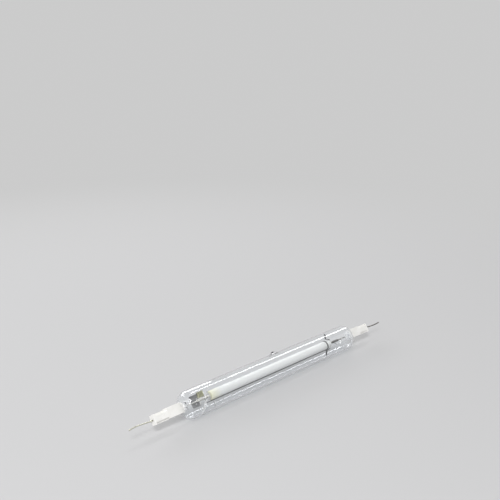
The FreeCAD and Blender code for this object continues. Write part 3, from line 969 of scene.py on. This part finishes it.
@dataclass
class LeadWire:
    """A stiff outer lead with a bead at the cap, a slight bend, a long bow and a melted tip."""

    end: End
    bend: float
    bow: float
    finish: WorkedMetal
    radius: float = 0.75
    start: float = 157.0
    cap_end: float = 183.0
    root: float = 3.6
    straight: float = 12.6
    bow_run: float = 13.3
    bead_station: float = 1.9
    bead_length: float = 1.8
    bead_radius: float = 1.25
    bend_run: float = 1.2
    tip_radius: float = 1.0
    tip_step: float = 0.2
    segments: int = 28

    def build(self, rack: FinishRack) -> None:
        """Makes the wire as one smooth run.

        Args:
            rack: where finishes are made.
        """
        run = RingRun(Vector((self.start, 0, 0)), self.radius, self.segments)
        bead_start = self.cap_end + self.bead_station - self.bead_length / 2
        run.step(bead_start - self.start)
        run.swell(self.bead_length, self.bead_radius)
        left = self.cap_end + self.root - bead_start - self.bead_length
        run.step(left - self.bend_run / 2)
        run.arc(self.bend_run, math.radians(self.bend), 4)
        run.step(self.straight - self.bend_run)
        run.arc(self.bow_run, math.radians(self.bow), 14)
        # The melted end swells to a small ball and closes
        for grown in (0.35, 0.7, 0.92, 1.0):
            run.step(self.tip_step, self.radius + (self.tip_radius - self.radius) * grown)
        for left_over in (0.95, 0.82, 0.6, 0.3):
            run.step(self.tip_step, self.tip_radius * left_over)
        piece = to_piece(self.end.label + "_lead", mirrored(run.close(), self.end),
                         SHARP_ROUND)
        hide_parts(self.end.label + "_lead_wire")
        settle(piece, self.finish, rack)


@dataclass
class ArcTube:
    """The alumina arc tube with its plugs, sealing glass, niobium tubes and electrodes."""

    half_length: float = 104.0
    radius: float = 5.6
    wall: float = 0.8
    lip: float = 0.25
    segments: int = 72
    spans: int = 12
    feed_radius: float = 1.5
    frit_radius: float = 3.1
    frit_segments: int = 40
    frit_sharp: float = 50.0

    def tube(self) -> bpy.types.Object:
        """Open tube with softly rounded ends.

        Returns:
            The closed wall of the tube.
        """
        bore = self.radius - self.wall
        straight = 2 * self.half_length - 2 * self.lip
        # The lip is rounded in two steps
        small, large = self.lip * 0.3, self.lip * 0.7
        run = RingRun(Vector((-self.half_length, 0, 0)), bore + self.lip, self.segments,
                      closed=False)
        run.step(0.0, self.radius - self.lip).step(small, self.radius - small)
        run.step(large, self.radius)
        for _ in range(self.spans):
            run.step(straight / self.spans)
        run.step(large, self.radius - small).step(small, self.radius - self.lip)
        run.step(0.0, bore + self.lip).step(-small, bore + small).step(-large, bore)
        run.step(-straight).step(-large, bore + small)
        return to_piece("alumina_tube", run.close_on_start())

    def frit(self, end: End) -> bpy.types.Object:
        """Fillet of sealing glass round the niobium tube on the plug's face.

        Args:
            end: the end that it is for.

        Returns:
            The closed fillet.
        """
        run = RingRun(Vector((self.half_length, 0, 0)), self.frit_radius, self.frit_segments)
        # Height above the plug's face and radius
        for x, r in ((0.08, 3.0), (0.16, 2.6), (0.26, 2.15), (0.42, 1.8), (0.55, 1.62)):
            run.step(x - (run.centre.x - self.half_length), r)
        run.step(0.02, self.feed_radius)
        return to_piece(end.label + "_sealing_glass", mirrored(run.close(), end),
                        self.frit_sharp)

    def build(self, rack: FinishRack) -> None:
        """Makes the tube and dresses what is sealed into it.

        Args:
            rack: where finishes are made.
        """
        tube = self.tube()
        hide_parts("arc_tube")
        settle(tube, SinteredAlumina(), rack)
        for end in End:
            settle(self.frit(end), SinteredAlumina(), rack)
            rack.dress_node(end.label + "_end_plug", SinteredAlumina())
            rack.dress_node(end.label + "_electrode", TUNGSTEN)
            # The near niobium tube is paler, partly as a painted reflection of a bright lamp
            rack.dress_node(end.label + "_feedthrough",
                            NIOBIUM if end is End.NEAR else TINTED_NIOBIUM)


@dataclass
class InnerMounts:
    """The leads, foils, bars, springs and carrier that hold the arc tube in the bulb."""

    strip_edge: float = 0.08
    plate_edge: float = 0.09
    plate_merge: float = 0.05
    weld_radius: float = 0.75
    weld_rise: float = 0.22
    welds: tuple[tuple[float, float, float], ...] = (
        (-121.0, 1.2, 2.6), (-123.5, 0.7, -2.6), (-115.5, 1.3, 4.2), (113.4, 0.2, -1.75),
        (129.5, -0.2, -1.05))

    def weld(self, index: int, place: tuple[float, float, float]) -> bpy.types.Object:
        """A flattened weld spot.

        Args:
            index: its number, for its name.
            place: its middle, in the lamp's axes; the carrier's spots are at -X.

        Returns:
            The closed spot.
        """
        bm = bmesh.new()
        bmesh.ops.create_icosphere(bm, subdivisions=3, radius=self.weld_radius,
                                   matrix=Matrix.Translation(place))
        squash = self.weld_rise / self.weld_radius
        factors = (1, squash, 1) if place[0] < 0 else (1, 1, squash)
        bmesh.ops.scale(bm, vec=factors, space=Matrix.Translation(-Vector(place)),
                        verts=bm.verts)
        return to_piece(f"weld_spot_{index}", bm, SHARP_ROUND)

    def build(self, rack: FinishRack) -> None:
        """Makes the strips with soft edges and dresses the rods and foils.

        Args:
            rack: where finishes are made.
        """
        # The near-white strip finish is partly a painted reflection of the bright lamps
        for node, finish in (("near_centring_bar", SPRING_STRIP),
                             ("near_wall_spring", SPRING_STRIP),
                             ("far_flex_strap", SPRING_STRIP),
                             ("far_centring_bar", HEATED_STRIP)):
            settle(softened(node, node + "_strip", self.strip_edge, 2), finish, rack)
        settle(softened("near_mount_plate", "folded_carrier", self.plate_edge,
                        merge=self.plate_merge), CARRIER_SHEET, rack)
        settle(softened("getter", "getter_plate", self.plate_edge), GetterPowder(), rack)
        for index, place in enumerate(self.welds):
            settle(self.weld(index, place), SPRING_STRIP, rack)
        for end in End:
            # The near inner lead gets the paler molybdenum, whose extra brightness is a painted
            # reflection
            rack.dress_node(end.label + "_inner_lead",
                            ETCHED_MOLYBDENUM if end is End.NEAR else MOLYBDENUM)
            rack.dress_node(end.label + "_foil", MOLYBDENUM)
        rack.dress_node("starting_wire", FIRED_MOLYBDENUM)


@dataclass(frozen=True)
class SoftLamp:
    """A soft lamp aimed at the object: long along one direction and wide across it."""

    name: str
    place: tuple[float, float, float]
    along: tuple[float, float, float]
    long: float
    wide: float
    power: float

    def hang(self) -> None:
        """Puts the lamp in the scene, turned so that its long side follows its direction."""
        lamp = bpy.data.lights.new(self.name, "AREA")
        lamp.shape = "RECTANGLE"
        lamp.size = self.long
        lamp.size_y = self.wide
        lamp.energy = self.power
        back = Vector(self.place).normalized()
        across = back.cross(Vector(self.along)).normalized()
        turn = Matrix((across.cross(back), across, back)).transposed()
        holder = bpy.data.objects.new(self.name, lamp)
        holder.visible_camera = False
        holder.matrix_world = Matrix.Translation(Vector(self.place)) @ turn.to_4x4()
        bpy.context.scene.collection.objects.link(holder)


@dataclass
class Studio:
    """The pale floor, the soft lamps and the camera at the photograph's angle."""

    floor_height: float = -16.5
    floor_size: float = 12.0
    floor_tone: str = "B4B4B5"
    fade_from: float = 0.35
    fade_to: float = 1.3
    camera_place: tuple[float, float, float] = (-571.6, -563.5, 407.9)
    camera_forward: tuple[float, float, float] = (0.65323, 0.69426, -0.30214)
    camera_up: tuple[float, float, float] = (0.20103, 0.22570, 0.95323)
    focal: float = 51.41
    sensor: float = 36.0
    nearest: float = 0.01
    backdrop: float = 0.60
    floor_lift: float = 0.13
    mirrored_sky: float = 0.75
    world_light: float = 0.42
    lamps: tuple[SoftLamp, ...] = (
        SoftLamp("key_light", (-1.2, -0.85, 1.72), (1.0, -0.9, 0.0), 0.6, 0.6, 24.5),
        SoftLamp("end_light", (-1.6, -0.5, 0.75), (0.3, -1.0, 0.0), 1.2, 1.2, 5.5),
        SoftLamp("fill_light", (1.4, -0.9, 1.2), (0.9, 1.4, 0.0), 1.2, 1.2, 2.0),
        SoftLamp("strip_light", (1.24, 0.78, 1.35), (1.0, 0.0, 0.0), 1.5, 0.22, 8.0),
        SoftLamp("rim_light", (0.09, 1.73, 0.63), (1.0, 0.0, 0.0), 1.98, 0.42, 11.0),
        SoftLamp("back_light", (-0.9, 1.5, 1.0), (1.0, 0.6, 0.0), 0.9, 0.6, 4.0),
    )

    def floor(self) -> None:
        """Broad pale floor that keeps the lamp's soft shadow."""
        bm = bmesh.new()
        bmesh.ops.create_grid(bm, x_segments=1, y_segments=1, size=self.floor_size / 2,
                              matrix=Matrix.Translation((0, 0, self.floor_height * MM)))
        floor = smooth_object("floor", bm, SHARP)
        material, tree = new_material("pale_floor")
        place = add_node(tree, "ShaderNodeTexCoord").outputs["Object"]
        away = add_node(tree, "ShaderNodeVectorMath", {0: place}, operation="LENGTH")
        fade = add_node(tree, "ShaderNodeMapRange", {
            "Value": away.outputs["Value"], "From Min": self.fade_from,
            "From Max": self.fade_to, "To Min": 0.0, "To Max": 1.0},
            interpolation_type="SMOOTHSTEP")
        matt = add_node(tree, "ShaderNodeBsdfDiffuse", {"Color": srgb(self.floor_tone)})
        glow = add_node(tree, "ShaderNodeEmission", {
            "Color": WHITE, "Strength": self.floor_lift})
        lifted = add_node(tree, "ShaderNodeAddShader", {
            0: matt.outputs["BSDF"], 1: glow.outputs["Emission"]})
        far = add_node(tree, "ShaderNodeEmission", {
            "Color": WHITE, "Strength": self.backdrop})
        both = add_node(tree, "ShaderNodeMixShader", {
            0: fade.outputs["Result"], 1: lifted.outputs["Shader"],
            2: far.outputs["Emission"]})
        add_node(tree, "ShaderNodeOutputMaterial", {"Surface": both.outputs["Shader"]})
        floor.data.materials.append(material)

    def world(self) -> None:
        """Even soft light, and a pale sky for what is seen in and through glass and metal."""
        world = bpy.data.worlds.new("studio_world")
        world.use_nodes = True
        tree = world.node_tree
        tree.nodes.clear()
        path = add_node(tree, "ShaderNodeLightPath")
        looked_at = add_node(tree, "ShaderNodeMath", {
            0: path.outputs["Is Camera Ray"], 1: path.outputs["Is Transmission Ray"]},
            operation="MAXIMUM")
        soft = add_node(tree, "ShaderNodeBackground", {
            "Color": WHITE, "Strength": self.world_light})
        sky = add_node(tree, "ShaderNodeBackground", {
            "Color": WHITE, "Strength": self.mirrored_sky})
        backdrop = add_node(tree, "ShaderNodeBackground", {
            "Color": WHITE, "Strength": self.backdrop})
        lit = add_node(tree, "ShaderNodeMixShader", {
            0: path.outputs["Is Glossy Ray"], 1: soft.outputs["Background"],
            2: sky.outputs["Background"]})
        both = add_node(tree, "ShaderNodeMixShader", {
            0: looked_at.outputs["Value"], 1: lit.outputs["Shader"],
            2: backdrop.outputs["Background"]})
        add_node(tree, "ShaderNodeOutputWorld", {"Surface": both.outputs["Shader"]})
        bpy.context.scene.world = world

    def camera(self) -> None:
        """Camera where the photograph was taken from."""
        forward = Vector(self.camera_forward).normalized()
        right = forward.cross(Vector(self.camera_up)).normalized()
        up = right.cross(forward)
        turn = Matrix((right, up, -forward)).transposed()
        data = bpy.data.cameras.new("photo_camera")
        data.sensor_width = self.sensor
        data.lens = self.focal
        data.clip_start = self.nearest
        data.dof.use_dof = False
        camera = bpy.data.objects.new("photo_camera", data)
        camera.matrix_world = (Matrix.Translation(Vector(self.camera_place) * MM)
                               @ turn.to_4x4())
        bpy.context.scene.collection.objects.link(camera)
        bpy.context.scene.camera = camera

    def build(self) -> None:
        """Sets up the whole studio."""
        self.floor()
        self.world()
        for lamp in self.lamps:
            lamp.hang()
        self.camera()
        bpy.context.scene.view_settings.view_transform = "Standard"


def main() -> None:
    """Builds the studio and every sub-assembly in order."""
    logging.basicConfig(level=logging.INFO, format="%(name)s: %(message)s")
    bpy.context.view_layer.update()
    rack = FinishRack()
    Studio().build()
    Envelope().build(rack)
    for end in End:
        EndCap(end).build(rack)
    LeadWire(End.NEAR, 5.0, -14.0, CLEAN_NICKEL).build(rack)
    LeadWire(End.FAR, -3.0, 8.0, OXIDISED_NICKEL).build(rack)
    ArcTube().build(rack)
    InnerMounts().build(rack)


if __name__ == "__main__":
    main()
